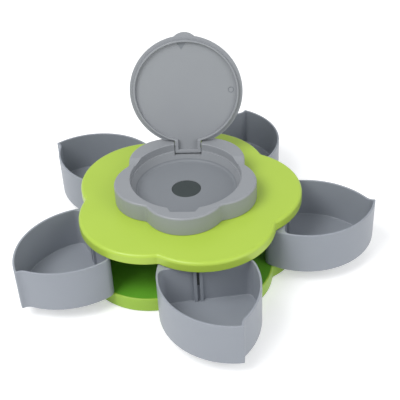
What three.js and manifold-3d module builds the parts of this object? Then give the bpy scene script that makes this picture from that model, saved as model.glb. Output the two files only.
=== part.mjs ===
// Flower-shaped rotating candy box, millimetres, +Z up.
// Five petal boxes swing out together from between a base and a cover when the knob on top is turned.
// Origin: on the knob's axis, on the table. +X runs along one lobe of the cover. The boxes stand open.
import * as THREE from "three";
import { mergeVertices } from "three/addons/utils/BufferGeometryUtils.js";
import Module from "manifold-3d";

const wasm = await Module();
wasm.setup();

const degree = Math.PI / 180;
const fullTurn = 2 * Math.PI;

// The flower
const petals = 5;
const petalTurn = fullTurn / petals;
const lobeRadius = 71.65;
const lobeOffsetShare = 0.6469; // lobe centres of the cover from the axis, of the lobes' radius
const notchRound = 6;
const slack = 0.3; // between pieces that touch
const overrun = 2; // how far a cut runs past what it cuts

// Base
const baseInset = 3.85; // the base's lobes are smaller than the cover's
const baseSpread = 1.55; // and stand further out
const baseTop = 16.2;
const basePlate = 2.5;
const baseWall = 2.5;
const baseEdgeRound = 1.6;
const tableGap = 1; // the base's skirt stops short of the table

// Feet
const footRadius = 6.5;
const footHeight = 2;
const footOffsetShare = 1.1863; // outer feet from the axis, of the lobes' radius
const footBossWall = 1.5; // how much wider the boss over a foot is

// Cover
const coverPlate = 2.5;
const coverWall = 2.5;
const coverRoom = 4.2; // under the cover's plate, above the gears
const skirtGap = 1; // the cover's skirt above the box rims
const coverEdgeRound = 2.6;

// Petal boxes
const boxHeight = 45.5;
const boxWall = 2;
const boxFloor = 2.2;
const swingOpen = 74.14 * degree;
const pivotShare = 1.3648; // the boxes' pivots from the axis, of the lobes' radius
const pivotLag = 31.33 * degree; // a pivot lies behind the middle of its lobe
const cornerShare = 1.1025; // pivot to the corner of end wall and bulged wall, of the lobes' radius
const cornerLag = 4.86 * degree; // that corner against the line from pivot to axis, box closed
const bulgeShare = 1.0871; // radius of the bulged wall, of the lobes' radius
const knuckleGap = 0.85; // closed tip to the next box's knuckle
const knuckleBlend = 2.5;
const tipRound = 1.2;
const cornerRound = 9;
const rimRound = 0.6;
const ribWidth = 3;
const ribDepth = 2.5;
const ribPitch = 5.7;
const ribShare = 0.328; // pivot to the pair of ribs, of the way to the corner

// Pivot posts and their screws
const postRadius = 4;
const boreSlack = 0.3;
const coverBossWall = 2.3;
const screwRadius = 1.5;
const screwHeadRadius = 2.8;
const screwHeadGap = 0.2; // round a head, where the base's wall comes near
const screwHeadHeight = 2.4;
const postScrewLength = 16;
const pilotSpare = 3; // a pilot hole goes deeper than its screw

// Gear train
const driveTeeth = 55;
const quadrantPitchTeeth = 36; // teeth that a full quadrant gear would have
const quadrantTeeth = 11;
const firstTooth = 1.5; // teeth past the line to the axis, box open
const pressureAngle = 20 * degree;
const addendumShare = 0.95;
const dedendumShare = 1.2;
const backlash = 0.35;
const gearThickness = 4;
const gearLift = 1; // underside of the gears above the box rims
const padRadius = 5.6;
const keyWidth = 2;
const keyDepth = 22;
const keyArmWidth = 7;
const windowInset = 5;

// Hub column, its screws, the centre screw and washer
const columnRadius = 14;
const columnWall = 2.5;
const spigotRadius = 6;
const hubScrews = 3;
const hubScrewOffset = 10.2;
const hubScrewLength = 14;
const washerRadius = 9.5;
const washerThickness = 1;
const centreScrewRadius = 1.5;
const centreScrewHeadRadius = 4;
const centreScrewHeadHeight = 2.2;
const centreScrewLength = 15;

// Knob
const knobLobeRadius = 40.64;
const knobLobeOffsetShare = 0.79823; // lobe centres of the knob from the axis, of their radius
const knobHeight = 19.8;
const knobBackRise = 2.7; // the back half stands higher
const knobBackStart = 29.5; // where the back half starts, towards the hinge
const knobFloor = 3.2;
const knobEdgeRound = 2;
const knobNotchRound = 8;
const knobRimWidth = 6.8; // the knob's flat rim at its narrowest, in the notches
const recessTaper = 4.2; // the recess is narrower at its floor than at its rim
const backRimInset = 0.7; // the back half of the recess is a little narrower
const backLedgeWidth = 1.5;
const backLedgeDepth = 8.5;
const backTaper = 4;
const stemRadius = 18;
const stemSlack = 0.5;
const stemFloor = 3.5;
const wellRadius = 13;
const dogs = 3;
const dogOffset = 12.5;
const dogWidth = 8;
const dogThickness = 3.4;
const dogDepth = 3;
const fingerCutWide = 17;
const fingerCutNarrow = 12;
const fingerCutLength = 5.3; // beyond the recess rim
const fingerCutDepth = 6;

// Cap in the knob
const capRadius = 14.7;
const capThickness = 1.9;
const capSink = 0.2; // its top below the recess floor

// Lid and hinge
const lidOverlap = 2.5; // how far the lid covers the recess rim
const lidPlate = 2.2;
const lidOpen = 102.8 * degree;
const lidEdgeRound = 0.8;
const hingeSetback = 0.8; // hinge axis behind the recess rim
const hingeDrop = 2.6; // hinge axis below the closed lid's underside
const beadGap = 1.6; // closed lid's bead to the recess rim
const beadWidth = 1.8;
const beadHeight = 3.6;
const tongueWidth = 27.4;
const tongueReach = 9; // past the hinge axis
const tongueRim = 3.6;
const tongueDepth = 2.1; // the rim round the tongue reaches this far below the hinge axis
const tabWidth = 21;
const tabReach = 3.4;
const pinRadius = 1;
const pinSlack = 0.3;
const pinLength = 7.5;
const pinStart = 10.7; // inner end of a pin, from the middle of the hinge
const slotSide = 0.6; // beside the tongue
const slotFloor = 0.4; // under the open lid's heel

// Sizes worked out from the sizes above
const lobeOffset = lobeOffsetShare * lobeRadius;
const baseLobeRadius = lobeRadius - baseInset;
const baseLobeOffset = lobeOffset + baseSpread;
const footOffset = footOffsetShare * lobeRadius;
const pivotRadius = pivotShare * lobeRadius;
const cornerReach = cornerShare * lobeRadius;
const bulgeRadius = bulgeShare * lobeRadius;
const ribReach = ribShare * cornerReach;
const knobLobeOffset = knobLobeOffsetShare * knobLobeRadius;
const recessRimRadius = notchReach(knobLobeOffset, knobLobeRadius, knobNotchRound)
  - knobNotchRound - knobRimWidth;
const recessFloorRadius = recessRimRadius - recessTaper;
const backRimRadius = recessRimRadius - backRimInset;
const backLedgeRadius = backRimRadius - backLedgeWidth;
const backFloorRadius = backRimRadius - backTaper;
const fingerCutReach = recessRimRadius + fingerCutLength;
const lidRadius = recessRimRadius + lidOverlap;
const hingeOffset = recessRimRadius + hingeSetback;
const beadRadius = recessRimRadius - beadGap;

// Levels worked out from the sizes above
const baseUnder = baseTop - basePlate;
const boxBottom = baseTop + slack;
const boxRim = boxBottom + boxHeight;
const gearBottom = boxRim + gearLift;
const gearTop = gearBottom + gearThickness;
const coverUnder = gearTop + coverRoom;
const coverTop = coverUnder + coverPlate;
const coverSkirt = boxRim + skirtGap;
const knobBottom = coverTop + slack;
const knobTop = knobBottom + knobHeight;
const knobBackTop = knobTop + knobBackRise;
const recessFloor = knobBottom + knobFloor;
const stemBottom = gearTop + slack;
const stemWebTop = stemBottom + stemFloor;
const shoulder = gearBottom - slack;
const washerBottom = stemWebTop + slack;
const washerTop = washerBottom + washerThickness;
const capTop = recessFloor - capSink;
const capBottom = capTop - capThickness;
const lidUnder = knobBackTop + slack;
const hingeHeight = lidUnder - hingeDrop;
const footBossBottom = footHeight + slack;

// Facets
const lobeSteps = 14;
const notchSteps = 3;
const roundSteps = 2;
const ringSides = 60;
const smallSides = 16;
const outerSteps = 22;
const bulgeSteps = 10;
const hollowSteps = 6;
const cornerSteps = 4;
const knuckleSteps = 12;

const origin = { x: 0, y: 0 };

// Plane geometry

function polar(radius, angle, from = origin) {
  return { x: from.x + radius * Math.cos(angle), y: from.y + radius * Math.sin(angle) };
}

function angleTo(from, to) {
  return Math.atan2(to.y - from.y, to.x - from.x);
}

function distance(a, b) {
  return Math.hypot(b.x - a.x, b.y - a.y);
}

function difference(a, b) {
  return { x: a.x - b.x, y: a.y - b.y };
}

function turned(point, angle) {
  return polar(Math.hypot(point.x, point.y), angleTo(origin, point) + angle);
}

// Where two circles meet, on the left (side 1) or right (side -1) of the way from a to b.
function circlesMeet(a, radiusA, b, radiusB, side) {
  const apart = distance(a, b);
  const along = (apart * apart + radiusA * radiusA - radiusB * radiusB) / (2 * apart);
  return polar(radiusA, angleTo(a, b) + side * Math.acos(along / radiusA), a);
}

// Points of an arc from one angle to another, both ends included; turn is 1 for anticlockwise.
function arc(centre, radius, from, to, turn, steps) {
  let sweep = (to - from) * turn;
  sweep -= fullTurn * Math.floor(sweep / fullTurn);
  return Array.from({ length: steps + 1 }, (_, i) =>
    polar(radius, from + (turn * sweep * i) / steps, centre));
}

function circle(radius, sides, centre = origin) {
  return Array.from({ length: sides }, (_, i) => polar(radius, (fullTurn * i) / sides, centre));
}

function rectangle(x0, y0, x1, y1) {
  return [{ x: x0, y: y0 }, { x: x1, y: y0 }, { x: x1, y: y1 }, { x: x0, y: y1 }];
}

// From the axis to the centre of the small round in a flower's notch.
function notchReach(offset, radius, rounding) {
  const across = offset * Math.sin(petalTurn / 2);
  return offset * Math.cos(petalTurn / 2) + Math.sqrt((radius + rounding) ** 2 - across * across);
}

// Flower outline: lobes on arcs, joined by small rounds in the notches, drawn in by inset.
function flower(offset, radius, inset = 0, rounding = notchRound) {
  const lobe = radius - inset;
  const round = rounding + inset;
  const notch = petalTurn / 2;
  const points = [];
  for (let i = 0; i < petals; i += 1) {
    const middle = i * petalTurn;
    const centre = polar(offset, middle);
    const out = notchReach(offset, radius, rounding);
    const before = polar(out, middle - notch);
    const after = polar(out, middle + notch);
    points.push(...arc(centre, lobe, angleTo(centre, before), angleTo(centre, after), 1, lobeSteps));
    points.push(...arc(after, round, angleTo(after, centre),
      angleTo(after, polar(offset, middle + petalTurn)), -1, notchSteps).slice(1, -1));
  }
  return points;
}

// Solids

function solid(geometry) {
  geometry.deleteAttribute("normal");
  geometry.deleteAttribute("uv");
  const merged = mergeVertices(geometry, slack / 1000);
  return new wasm.Manifold(new wasm.Mesh({
    numProp: 3,
    vertProperties: merged.attributes.position.array,
    triVerts: new Uint32Array(merged.index.array),
  }));
}

// A closed skin over outlines with the same number of points, each at its own level, lowest first.
function loft(rings) {
  const count = rings[0].outline.length;
  const positions = [];
  const faces = [];
  rings.forEach(({ outline, z }) => outline.forEach((p) => positions.push(p.x, p.y, z)));
  for (let ring = 0; ring < rings.length - 1; ring += 1) {
    for (let i = 0; i < count; i += 1) {
      const a = ring * count + i;
      const b = ring * count + ((i + 1) % count);
      faces.push(a, b, b + count, a, b + count, a + count);
    }
  }
  const top = rings.length - 1;
  const contour = (ring) => ring.outline.map((p) => new THREE.Vector2(p.x, p.y));
  for (const [a, b, c] of THREE.ShapeUtils.triangulateShape(contour(rings[0]), [])) {
    faces.push(a, c, b);
  }
  for (const [a, b, c] of THREE.ShapeUtils.triangulateShape(contour(rings[top]), [])) {
    faces.push(top * count + a, top * count + b, top * count + c);
  }
  const geometry = new THREE.BufferGeometry();
  geometry.setAttribute("position", new THREE.Float32BufferAttribute(positions, 3));
  geometry.setIndex(faces);
  return solid(geometry);
}

function prism(outline, bottom, top) {
  return loft([{ outline, z: bottom }, { outline, z: top }]);
}

function rod(radius, bottom, top, centre = origin, sides = smallSides) {
  return prism(circle(radius, sides, centre), bottom, top);
}

function cone(bottomRadius, bottom, topRadius, top) {
  return loft([
    { outline: circle(bottomRadius, ringSides), z: bottom },
    { outline: circle(topRadius, ringSides), z: top },
  ]);
}

function block(x0, y0, z0, x1, y1, z1) {
  return prism(rectangle(x0, y0, x1, y1), z0, z1);
}

// A flower block whose upper edge is rounded.
function flowerBlock(offset, radius, bottom, top, round) {
  const rings = [{ outline: flower(offset, radius), z: bottom }];
  for (let i = 0; i <= roundSteps; i += 1) {
    const angle = (i / roundSteps) * 90 * degree;
    rings.push({
      outline: flower(offset, radius, round * (1 - Math.cos(angle))),
      z: top - round * (1 - Math.sin(angle)),
    });
  }
  return loft(rings);
}

function joined(first, ...others) {
  return others.reduce((sum, other) => sum.add(other), first);
}

function cut(first, ...others) {
  return others.reduce((rest, other) => rest.subtract(other), first);
}

function around(count, make, start = 0) {
  return Array.from({ length: count }, (_, i) => make(start + (i * fullTurn) / count, i));
}

// Finishes

const finishes = {
  green: { color: "#b7d454", roughness: 0.38, metalness: 0 },
  grey: { color: "#9ea3a8", roughness: 0.42, metalness: 0 },
  dark: { color: "#2f3233", roughness: 0.5, metalness: 0 },
  cap: { color: "#485050", roughness: 0.55, metalness: 0 },
  steel: { color: "#b9bcc0", roughness: 0.3, metalness: 1 },
  rubber: { color: "#2b2b2b", roughness: 0.9, metalness: 0 },
};

function piece(name, made, finish) {
  const { vertProperties, triVerts } = made.getMesh();
  const geometry = new THREE.BufferGeometry();
  geometry.setAttribute("position", new THREE.Float32BufferAttribute(vertProperties, 3));
  geometry.setIndex(new THREE.Uint32BufferAttribute(triVerts, 1));
  geometry.computeVertexNormals();
  const mesh = new THREE.Mesh(geometry, new THREE.MeshStandardMaterial(finishes[finish]));
  mesh.name = name;
  return mesh;
}

// Places of the pivots. The first box's lobe points along -72 degrees; a box is drawn closed, in a
// frame with its pivot at the origin and its lobe along +X, and is then swung open.

const lobeAngle = (index) => (index - 1) * petalTurn;
const pivotInLobe = polar(pivotRadius, -pivotLag);
const pivotPlace = (index) => polar(pivotRadius, lobeAngle(index) - pivotLag);
const lobeCentre = difference(polar(lobeOffset, 0), pivotInLobe);
const nextPivot = difference(turned(pivotInLobe, petalTurn), pivotInLobe);
const axisDirection = angleTo(pivotInLobe, origin);
const knuckleRadius = lobeRadius - distance(pivotInLobe, polar(lobeOffset, 0));
const tipHollow = knuckleRadius + knuckleGap;
const corner = polar(cornerReach, axisDirection - cornerLag);
const boreRadius = postRadius + boreSlack;

// The end wall's outer face touches the knuckle and runs to the corner.
const endWallAngle = angleTo(origin, corner) + Math.asin(knuckleRadius / cornerReach);
const bulgeCentre = circlesMeet(nextPivot, tipHollow + bulgeRadius, corner, bulgeRadius, 1);

// A point given along the end wall and out of the box, from the pivot.
function fromEndWall(along, outward) {
  return polar(outward, endWallAngle + 90 * degree, polar(along, endWallAngle));
}

// Centre of a round that touches the end wall's inner side and, from inside, a circle.
function roundAtEndWall(centre, reach, outward, side) {
  const along = turned(centre, -endWallAngle);
  const half = Math.sqrt(reach * reach - (outward - along.y) ** 2);
  return fromEndWall(along.x + side * half, outward);
}

// Outline of a petal drawn in by inset. With the knuckle it is the box's outside, without it the
// hollow, whose far end is a rounded corner at the end wall.
function petal(inset, knuckle) {
  const outer = lobeRadius - inset;
  const hollow = tipHollow + inset;
  const bulge = bulgeRadius - inset;
  const wall = -knuckleRadius - inset;
  const tip = circlesMeet(lobeCentre, outer - tipRound, nextPivot, hollow + tipRound, -1);
  const turn = cornerRound - inset;
  const bend = roundAtEndWall(bulgeCentre, bulge - turn, wall - turn, 1);
  const squareOn = endWallAngle + 90 * degree;
  const points = [
    ...arc(tip, tipRound, angleTo(lobeCentre, tip), angleTo(tip, nextPivot), 1, roundSteps),
    ...arc(nextPivot, hollow, angleTo(nextPivot, tip), angleTo(nextPivot, bulgeCentre), -1,
      hollowSteps),
    ...arc(bulgeCentre, bulge, angleTo(bulgeCentre, nextPivot), angleTo(bulgeCentre, bend), 1,
      bulgeSteps).slice(1),
    ...arc(bend, turn, angleTo(bulgeCentre, bend), squareOn, 1, cornerSteps).slice(1),
  ];
  let start;
  if (knuckle) {
    const reach = 2 * Math.sqrt(knuckleRadius * knuckleBlend);
    const blend = fromEndWall(reach, knuckleBlend - knuckleRadius);
    const round = knuckleRadius - inset;
    const fillet = knuckleBlend + inset;
    start = angleTo(lobeCentre, origin);
    points.push(...arc(blend, fillet, squareOn - 180 * degree, angleTo(blend, origin), -1,
      cornerSteps));
    points.push(...arc(origin, round, angleTo(origin, blend), start, 1, knuckleSteps).slice(1));
  } else {
    const end = roundAtEndWall(lobeCentre, outer - turn, wall - turn, -1);
    start = angleTo(lobeCentre, end);
    points.push(...arc(end, turn, squareOn, start, 1, cornerSteps));
  }
  points.push(...arc(lobeCentre, outer, start, angleTo(lobeCentre, tip), 1, outerSteps)
    .slice(1, -1));
  return points;
}

// Base, feet and cover

const outerFeet = around(petals, (angle) => polar(footOffset, angle));
const footPlaces = [...outerFeet, origin];
const pivots = Array.from({ length: petals }, (_, i) => pivotPlace(i));
const hubScrewPlaces = around(hubScrews, (angle) => polar(hubScrewOffset, angle));

function baseTray() {
  const shell = cut(
    flowerBlock(baseLobeOffset, baseLobeRadius, tableGap, baseTop, baseEdgeRound),
    prism(flower(baseLobeOffset, baseLobeRadius, baseWall), tableGap - overrun, baseUnder),
  );
  const bosses = footPlaces.map((place) => {
    const radius = place === origin ? footRadius : footRadius + footBossWall;
    return rod(radius, footBossBottom, baseTop - basePlate / 2, place);
  });
  const holes = [...pivots, ...hubScrewPlaces].map((place) =>
    rod(screwRadius + slack, baseUnder - overrun, baseTop + overrun, place));
  const wells = pivots.map((place) =>
    rod(screwHeadRadius + screwHeadGap, tableGap - overrun, baseUnder, place));
  return cut(joined(shell, ...bosses), ...holes, ...wells);
}

function topCover() {
  const shell = cut(
    flowerBlock(lobeOffset, lobeRadius, coverSkirt, coverTop, coverEdgeRound),
    prism(flower(lobeOffset, lobeRadius, coverWall), coverSkirt - overrun, coverUnder),
  );
  const bosses = pivots.map((place) =>
    rod(boreRadius + coverBossWall, gearTop + slack, coverTop - coverPlate / 2, place));
  const sockets = pivots.map((place) =>
    rod(boreRadius, gearTop + slack - overrun, coverUnder, place));
  const stemHole = rod(stemRadius + stemSlack, coverUnder - overrun, coverTop + overrun, origin,
    ringSides);
  return cut(joined(shell, ...bosses), ...sockets, stemHole);
}

function pivotPost() {
  const post = rod(postRadius, boxBottom, coverUnder - slack);
  const pilot = rod(screwRadius + slack, boxBottom - overrun,
    baseUnder + postScrewLength + pilotSpare);
  return cut(post, pilot);
}

// A screw from below: head under the base plate, shank up into its pilot hole.
function upwardScrew(length) {
  const seat = baseUnder - slack;
  return joined(
    rod(screwHeadRadius, seat - screwHeadHeight, seat),
    rod(screwRadius, seat - screwHeadHeight / 2, baseUnder + length),
  );
}

function hubColumn() {
  const body = joined(
    rod(columnRadius, boxBottom, shoulder, origin, ringSides / 2),
    rod(spigotRadius, shoulder - columnWall, stemWebTop, origin, ringSides / 2),
  );
  const pilots = hubScrewPlaces.map((place) =>
    rod(screwRadius + slack, boxBottom - overrun, baseUnder + hubScrewLength + pilotSpare, place));
  const centrePilot = rod(centreScrewRadius + slack, washerTop - centreScrewLength - pilotSpare,
    stemWebTop + overrun);
  return cut(body, ...pilots, centrePilot);
}

function centreWasher() {
  return cut(
    rod(washerRadius, washerBottom, washerTop, origin, ringSides / 2),
    rod(centreScrewRadius + slack, washerBottom - overrun, washerTop + overrun),
  );
}

function centreScrew() {
  const seat = washerTop + slack;
  return joined(
    rod(centreScrewRadius, washerTop - centreScrewLength, seat + centreScrewHeadHeight / 2),
    rod(centreScrewHeadRadius, seat, seat + centreScrewHeadHeight),
  );
}

// Gears: involute teeth, thinned by the backlash

const gearModule = (2 * pivotRadius) / (driveTeeth + quadrantPitchTeeth);

function gearSizes(teeth) {
  const pitch = (gearModule * teeth) / 2;
  return {
    teeth,
    pitch,
    base: pitch * Math.cos(pressureAngle),
    tip: pitch + addendumShare * gearModule,
    root: pitch - dedendumShare * gearModule,
  };
}

// Half the angle that a tooth fills at a radius.
function toothHalf(gear, radius) {
  const involute = (at) => {
    const slope = Math.acos(Math.min(1, gear.base / at));
    return Math.tan(slope) - slope;
  };
  const atPitch = ((gearModule * Math.PI) / 2 - backlash) / (2 * gear.pitch);
  return atPitch + involute(gear.pitch) - involute(Math.max(radius, gear.base));
}

function toothPoints(gear, middle) {
  const levels = [gear.root, gear.pitch, gear.tip];
  const up = levels.map((radius) => polar(radius, middle - toothHalf(gear, radius)));
  const down = levels.map((radius) => polar(radius, middle + toothHalf(gear, radius))).reverse();
  return [...up, ...down];
}

const driveGear = gearSizes(driveTeeth);
const quadrantGear = gearSizes(quadrantPitchTeeth);
const swingOfKnob = (swingOpen * quadrantPitchTeeth) / driveTeeth;

// A dog or its slot: a block across the radius at an angle.
function dogBlock(angle, spare, bottom, top) {
  const outline = rectangle(
    dogOffset - dogThickness / 2 - spare, -dogWidth / 2 - spare,
    dogOffset + dogThickness / 2 + spare, dogWidth / 2 + spare,
  ).map((point) => turned(point, angle));
  return prism(outline, bottom, top);
}

function driveGearSolid() {
  const outline = around(driveTeeth, (angle) => toothPoints(driveGear, angle), -pivotLag).flat();
  const bore = rod(spigotRadius + boreSlack, gearBottom - overrun, gearTop + overrun, origin,
    ringSides / 2);
  const slots = around(dogs, (angle) =>
    dogBlock(angle, slack, gearBottom - overrun, gearTop + overrun), knobRest);
  return cut(prism(outline, gearBottom, gearTop), bore, ...slots);
}

// The quadrant of a box in the box's closed frame: its toothed rim, pad, key arm and key.
function quadrantSolid() {
  const openAxis = axisDirection + swingOpen;
  const toothTurn = fullTurn / quadrantPitchTeeth;
  const first = openAxis + firstTooth * toothTurn;
  const rim = [];
  for (let i = quadrantTeeth - 1; i >= 0; i -= 1) {
    rim.push(...toothPoints(quadrantGear, first - i * toothTurn));
  }
  const last = first - (quadrantTeeth - 1) * toothTurn;
  const edge = toothTurn / 2;
  const fan = [origin, polar(quadrantGear.root, last - edge), ...rim,
    polar(quadrantGear.root, first + edge)];
  const innerRadius = padRadius + windowInset;
  const outerRadius = quadrantGear.root - windowInset;
  const spread = Math.asin(windowInset / innerRadius);
  const window = [
    ...arc(origin, outerRadius, last + spread / 2, first - spread / 2, 1, knuckleSteps),
    ...arc(origin, innerRadius, first - spread, last + spread, -1, hollowSteps),
  ];
  const keyPlace = fromEndWall(ribReach, -knuckleRadius - boxWall - ribDepth / 2);
  const armAngle = angleTo(origin, keyPlace);
  const arm = [
    ...arc(origin, keyArmWidth / 2, armAngle + 90 * degree, armAngle - 90 * degree, 1, cornerSteps),
    ...arc(keyPlace, keyArmWidth / 2, armAngle - 90 * degree, armAngle + 90 * degree, 1, cornerSteps),
  ];
  const keyMiddle = (ribDepth + keyWidth) / 2;
  const key = [
    fromEndWall(ribReach - keyWidth / 2, -knuckleRadius - boxWall - slack),
    fromEndWall(ribReach - keyWidth / 2, -knuckleRadius - boxWall - keyMiddle),
    fromEndWall(ribReach + keyWidth / 2, -knuckleRadius - boxWall - keyMiddle),
    fromEndWall(ribReach + keyWidth / 2, -knuckleRadius - boxWall - slack),
  ];
  const plate = joined(
    prism(fan, gearBottom, gearTop),
    rod(padRadius, boxRim + slack, gearTop, origin, ringSides / 3),
    prism(arm, gearBottom, gearTop),
    prism(key, boxRim - keyDepth, gearTop),
  );
  return cut(
    plate,
    prism(window, gearBottom - overrun, gearTop + overrun),
    rod(boreRadius, boxRim - overrun, gearTop + overrun),
  );
}

function petalBox() {
  const outside = loft([
    { outline: petal(rimRound, true), z: boxBottom },
    { outline: petal(0, true), z: boxBottom + rimRound },
    { outline: petal(0, true), z: boxRim - rimRound },
    { outline: petal(rimRound / 2, true), z: boxRim },
  ]);
  const hollow = prism(petal(boxWall, false), boxBottom + boxFloor, boxRim + overrun);
  const bore = rod(boreRadius, boxBottom - overrun, boxRim + overrun);
  const ribs = [-1, 1].map((side) => {
    const middle = ribReach + (side * ribPitch) / 2;
    const face = -knuckleRadius - boxWall;
    return prism([
      fromEndWall(middle - ribWidth / 2, face + boxWall / 2),
      fromEndWall(middle - ribWidth / 2, face - ribDepth),
      fromEndWall(middle + ribWidth / 2, face - ribDepth),
      fromEndWall(middle + ribWidth / 2, face + boxWall / 2),
    ], boxBottom + boxFloor / 2, boxRim - rimRound);
  });
  return cut(joined(cut(outside, hollow), ...ribs), bore);
}

// Knob: drawn with the hinge towards +Y, where two lobes meet

const knobTurn = 90 * degree - petalTurn / 2;
const knobRest = swingOfKnob - knobTurn; // the knob's lobes meet the cover's when it is turned back
const slotHalf = tongueWidth / 2 + slotSide;
const lidLean = lidOpen - 90 * degree;
const heelDrop = tongueReach * Math.cos(lidLean) + (hingeDrop + lidPlate) * Math.sin(lidLean);
const slotBottom = hingeHeight - heelDrop - slotFloor;
const beyond = 2 * lobeRadius;

function knobOutline(inset) {
  return flower(knobLobeOffset, knobLobeRadius, inset, knobNotchRound)
    .map((point) => turned(point, knobTurn));
}

function knobBlock(top) {
  const rings = [{ outline: knobOutline(0), z: knobBottom }];
  for (let i = 0; i <= roundSteps; i += 1) {
    const angle = (i / roundSteps) * 90 * degree;
    rings.push({
      outline: knobOutline(knobEdgeRound * (1 - Math.cos(angle))),
      z: top - knobEdgeRound * (1 - Math.sin(angle)),
    });
  }
  return loft(rings);
}

// The back half of something on the knob, from a distance towards the hinge onwards.
function backHalf(made, start) {
  return cut(made, block(-beyond, -beyond, -overrun, beyond, start, 2 * knobBackTop));
}

function frontHalf(made, start) {
  return cut(made, block(-beyond, start, -overrun, beyond, beyond, 2 * knobBackTop));
}

// The recess under the lid. Its back half is a little narrower and has a ledge.
function recess() {
  const ledge = knobBackTop - backLedgeDepth;
  const above = knobBackTop + overrun;
  const front = joined(
    cone(recessFloorRadius, recessFloor, recessRimRadius, knobTop),
    cone(recessRimRadius, knobTop, recessRimRadius, above),
  );
  const back = joined(
    cone(backFloorRadius, recessFloor, backLedgeRadius, ledge),
    cone(backRimRadius, ledge, backRimRadius, above),
  );
  return joined(frontHalf(front, knobBackStart), backHalf(back, knobBackStart));
}

function fingerCut() {
  const outline = [
    { x: -fingerCutWide, y: -backFloorRadius },
    { x: -fingerCutNarrow, y: -fingerCutReach },
    { x: fingerCutNarrow, y: -fingerCutReach },
    { x: fingerCutWide, y: -backFloorRadius },
  ];
  return prism(outline, knobTop - fingerCutDepth, knobTop + overrun);
}

function rodAlongX(radius, x0, x1, y, z) {
  const geometry = new THREE.CylinderGeometry(radius, radius, x1 - x0, smallSides);
  return solid(geometry.rotateZ(90 * degree).translate((x0 + x1) / 2, y, z));
}

function knobDish() {
  const body = joined(knobBlock(knobTop), backHalf(knobBlock(knobBackTop), knobBackStart));
  const pinEnd = pinStart + pinLength + slack;
  const dogsBelow = around(dogs, (angle) =>
    dogBlock(angle, 0, stemBottom - dogDepth, stemBottom + stemFloor / 2));
  const shell = joined(
    cut(body, recess(), fingerCut()),
    rod(stemRadius, stemBottom, knobBottom + knobFloor / 2, origin, ringSides),
    ...dogsBelow,
  );
  return cut(
    shell,
    block(-slotHalf, knobBackStart, slotBottom, slotHalf, beyond, knobBackTop + overrun),
    rod(spigotRadius + boreSlack, stemBottom - overrun, knobTop, origin, ringSides / 2),
    rod(wellRadius, stemWebTop, knobTop, origin, ringSides / 2),
    rod(capRadius + slack, capBottom - slack, knobTop, origin, ringSides),
    rodAlongX(pinRadius + pinSlack, -pinEnd, pinEnd, hingeOffset, hingeHeight),
  );
}

function centerCap() {
  return cone(capRadius, capBottom, capRadius, capTop);
}

// Lid: drawn closed around the hinge axis, with the knob's axis at -hingeOffset

const lidCentre = { x: 0, y: -hingeOffset };

function lidDisc() {
  const rings = [];
  const top = hingeDrop + lidPlate;
  for (let i = 0; i <= roundSteps; i += 1) {
    const angle = (i / roundSteps) * 90 * degree;
    rings.push({
      outline: circle(lidRadius - lidEdgeRound * (1 - Math.cos(angle)), ringSides, lidCentre),
      z: top - lidEdgeRound * (1 - Math.sin(angle)),
    });
  }
  return loft([{ outline: circle(lidRadius, ringSides, lidCentre), z: hingeDrop }, ...rings]);
}

function lid() {
  const half = tongueWidth / 2;
  const inner = half - tongueRim;
  const top = hingeDrop + lidPlate;
  const rimBottom = hingeDrop - beadHeight;
  const rimTop = hingeDrop + lidPlate / 2;
  const rimStart = Math.sqrt((beadRadius - beadWidth / 2) ** 2 - half * half) - hingeOffset;
  const tabEdge = Math.sqrt(lidRadius * lidRadius - (tabWidth * tabWidth) / 4);
  const tabSagitta = lidRadius + tabReach - tabEdge;
  const tabRadius = ((tabWidth * tabWidth) / 4 + tabSagitta * tabSagitta) / (2 * tabSagitta);
  const tabCentre = { x: 0, y: -hingeOffset - lidRadius - tabReach + tabRadius };
  const bead = cut(
    rod(beadRadius, rimBottom, rimTop, lidCentre, ringSides),
    rod(beadRadius - beadWidth, rimBottom - overrun, hingeDrop, lidCentre, ringSides),
    block(-inner, rimStart - tongueRim, rimBottom - overrun, inner, half, hingeDrop),
  );
  const sides = [-1, 1].map((side) => block(
    Math.min(side * inner, side * half), rimStart, -tongueDepth,
    Math.max(side * inner, side * half), tongueReach, rimTop));
  const sockets = [-1, 1].map((side) => rodAlongX(pinRadius + pinSlack,
    side > 0 ? pinStart - slack : -half - overrun, side > 0 ? half + overrun : slack - pinStart, 0, 0));
  // Beside the tongue the disc stops short of the knob's rim, on which it would catch when open.
  const heelEdge = -(lidUnder - hingeHeight + top * Math.sin(lidLean)) / Math.cos(lidLean);
  const whole = joined(
    cut(lidDisc(), block(-lidRadius, heelEdge, hingeDrop - overrun, lidRadius, half, top + overrun)),
    prism(circle(tabRadius, smallSides * 2, tabCentre), hingeDrop, top),
    block(-half, rimStart, hingeDrop, half, tongueReach, top),
    bead,
    ...sides,
    block(-half, tongueReach - tongueRim, -tongueDepth, half, tongueReach, rimTop),
  );
  return cut(whole, ...sockets);
}

// Assembly

const assembly = new THREE.Group();
assembly.name = "candy_box";

function place(mesh, point, turn = 0) {
  mesh.position.set(point.x, point.y, 0);
  mesh.rotation.z = turn;
  return mesh;
}

assembly.add(piece("base_tray", baseTray(), "green"));
assembly.add(piece("top_cover", topCover(), "green"));
footPlaces.forEach((point, i) =>
  assembly.add(place(piece(`rubber_foot_${i + 1}`, rod(footRadius, 0, footHeight), "rubber"),
    point)));
assembly.add(piece("hub_column", hubColumn(), "dark"));
hubScrewPlaces.forEach((point, i) =>
  assembly.add(place(piece(`hub_screw_${i + 1}`, upwardScrew(hubScrewLength), "steel"), point)));
assembly.add(piece("center_washer", centreWasher(), "steel"));
assembly.add(piece("center_screw", centreScrew(), "steel"));
assembly.add(piece("drive_gear", driveGearSolid(), "dark"));

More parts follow.
